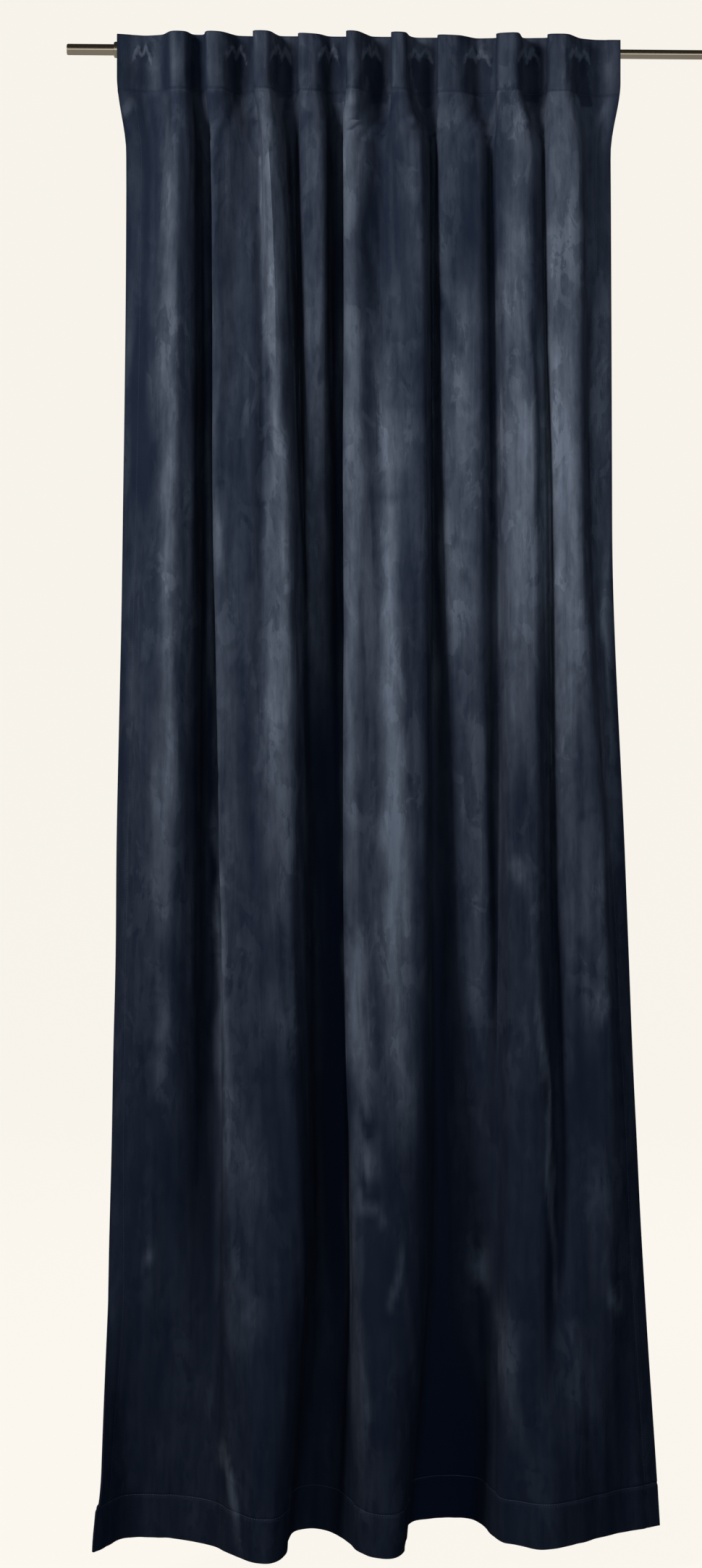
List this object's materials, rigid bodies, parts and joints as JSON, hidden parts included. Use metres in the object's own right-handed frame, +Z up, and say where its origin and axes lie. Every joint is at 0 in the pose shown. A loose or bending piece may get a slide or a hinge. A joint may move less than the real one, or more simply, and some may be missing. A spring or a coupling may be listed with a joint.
{
  "type": "velvet curtain on a curtain rod",
  "caption": "Heavy velvet curtain panel in deep uneven folds, hung by hidden back tabs on a plain round steel rod with a collared end piece.",
  "frame": {"origin": "on the rod's axis at the middle of the curtain's width, where the rod is held up", "axes": "+X along the rod to the right seen from the room, +Y toward the wall, +Z up; the cloth hangs down along -Z"},
  "size_m": [1.2011, 0.2162, 2.4964],
  "materials": {
    "velvet": "navy blue velvet with a short brushed pile",
    "tab_cloth": "flat woven navy backing strip",
    "steel": "warm grey satin"
  },
  "bodies": {
    "root": {"curtain": "velvet", "back_tab_01": "tab_cloth", "back_tab_02": "tab_cloth", "back_tab_03": "tab_cloth", "back_tab_04": "tab_cloth", "back_tab_05": "tab_cloth", "back_tab_06": "tab_cloth", "back_tab_07": "tab_cloth", "back_tab_08": "tab_cloth", "back_tab_09": "tab_cloth", "back_tab_10": "tab_cloth", "rod": "steel", "finial_left": "steel", "cap_right": "steel"}
  },
  "joints": []
}
